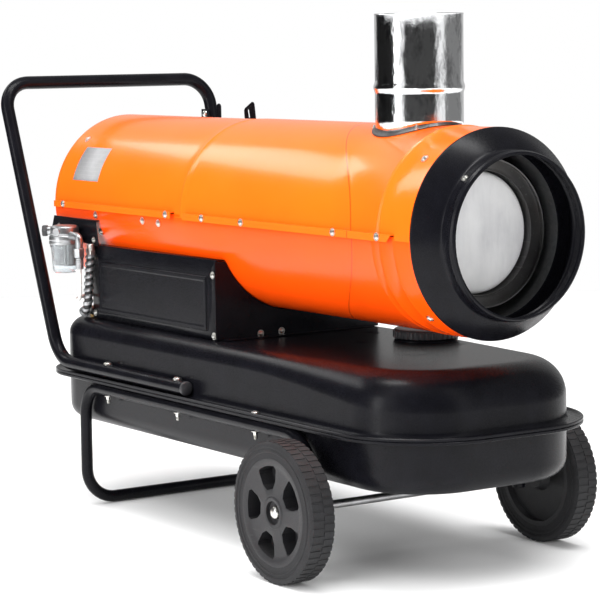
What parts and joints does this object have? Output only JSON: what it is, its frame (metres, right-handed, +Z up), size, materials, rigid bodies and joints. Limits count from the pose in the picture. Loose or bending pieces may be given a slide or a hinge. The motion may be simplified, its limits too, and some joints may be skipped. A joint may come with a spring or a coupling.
{
  "type": "forced air heater",
  "caption": "Wheeled forced air heater with a flue: a drum casing with an outlet ring on a control box, a flanged fuel tank and a bent tube frame with a handle.",
  "frame": {"origin": "on the floor, midway along the length and across the width", "axes": "+X along the casing towards the outlet ring, +Y across towards the controls, +Z up"},
  "size_m": [1.134, 0.5074, 0.784],
  "materials": {
    "orange_paint": "glossy orange stoved enamel on pressed sheet",
    "black_paint": "satin black powder coat, very fine grain",
    "steel": "plain rolled steel",
    "heat_steel": "steel with heat tint",
    "bright_steel": "mirror-bright stainless sheet",
    "galvanised": "galvanised sheet, faint spangle",
    "pale_plate": "pale matt coated plate, wipe marks",
    "aluminium": "cast aluminium, fine sand texture",
    "brass": "turned brass",
    "tyre_rubber": "matt dark grey rubber",
    "seal_rubber": "black oil-proof rubber",
    "dark_plastic": "fine-grained dark plastic",
    "red_plastic": "glossy red plastic",
    "clear_plastic": "clear plastic, slightly hazy",
    "hose_plastic": "translucent white hose",
    "paper": "pleated filter paper"
  },
  "bodies": {
    "chassis": {"rear_cover": "orange_paint", "front_cover": "orange_paint", "lower_shell": "orange_paint", "outlet_ring": "black_paint", "end_ring": "galvanised", "heat_shield": "galvanised", "exchanger_jacket": "galvanised", "combustion_drum": "heat_steel", "drum_end_plate": "pale_plate", "flue_pipe": "bright_steel", "flue_collar": "bright_steel", "intake_grille": "black_paint", "motor": "aluminium", "motor_bracket": "galvanised", "fuel_pump": "aluminium", "bulkhead": "galvanised", "burner_tube": "heat_steel", "burner_head": "brass", "control_box": "black_paint", "box_front_plate": "black_paint", "box_side_panel": "black_paint", "control_plate": "black_paint", "switch_bezel": "dark_plastic", "pilot_lamp": "red_plastic", "cord_gland": "dark_plastic", "ignition_transformer": "dark_plastic", "tank_upper": "black_paint", "tank_lower": "black_paint", "filler_neck": "black_paint", "fuel_gauge": "dark_plastic", "drain_plug": "steel", "tank_fitting": "brass", "frame_tube": "black_paint", "handle_tube": "black_paint", "cord_bracket": "black_paint", "axle": "steel", "handle_plug_near": "dark_plastic", "handle_plug_far": "dark_plastic", "spacer_near": "dark_plastic", "spacer_far": "dark_plastic", "axle_cap_near": "bright_steel", "axle_cap_far": "bright_steel", "filter_bracket": "black_paint", "filter_head": "aluminium", "filter_bowl": "clear_plastic", "filter_element": "paper", "filter_elbow": "aluminium", "fuel_hose": "hose_plastic", "guarded_hose": "seal_rubber", "spring_guard": "steel"},
    "wheel_near": {"wheel_near": "dark_plastic", "tyre_near": "tyre_rubber"},
    "wheel_far": {"wheel_far": "dark_plastic", "tyre_far": "tyre_rubber"},
    "fan_rotor": {"fan": "aluminium"},
    "cap_lift": {"cap_plug": "seal_rubber"},
    "cap_turn": {"fuel_cap": "dark_plastic"},
    "knob": {"thermostat_knob": "dark_plastic"},
    "switch": {"power_switch": "red_plastic"},
    "reset": {"reset_button": "red_plastic"}
  },
  "joints": [
    {"name": "wheel_near_spin", "type": "hinge", "parent": "chassis", "child": "wheel_near", "pos_m": [0.334, -0.23345, 0.1], "axis": [0, 1, 0], "continuous": true},
    {"name": "wheel_far_spin", "type": "hinge", "parent": "chassis", "child": "wheel_far", "pos_m": [0.334, 0.23345, 0.1], "axis": [0, 1, 0], "continuous": true},
    {"name": "fan_spin", "type": "hinge", "parent": "chassis", "child": "fan_rotor", "pos_m": [-0.435, 0, 0.483], "axis": [1, 0, 0], "continuous": true},
    {"name": "cap_lift", "type": "slide", "parent": "chassis", "child": "cap_lift", "axis": [0, 0, 1], "range_m": [0, 0.03]},
    {"name": "cap_turn", "type": "hinge", "parent": "cap_lift", "child": "cap_turn", "pos_m": [0.205, 0.112, 0.305], "axis": [0, 0, 1], "range_deg": [0, 90]},
    {"name": "knob_turn", "type": "hinge", "parent": "chassis", "child": "knob", "pos_m": [-0.205, 0.147, 0.366], "axis": [0, 1, 0], "range_deg": [0, 270]},
    {"name": "switch_rock", "type": "hinge", "parent": "chassis", "child": "switch", "pos_m": [-0.095, 0.147, 0.366], "axis": [1, 0, 0], "range_deg": [0, 14]},
    {"name": "reset_press", "type": "slide", "parent": "chassis", "child": "reset", "axis": [0, -1, 0], "range_m": [0, 0.003], "stiffness_N_per_m": 400}
  ]
}
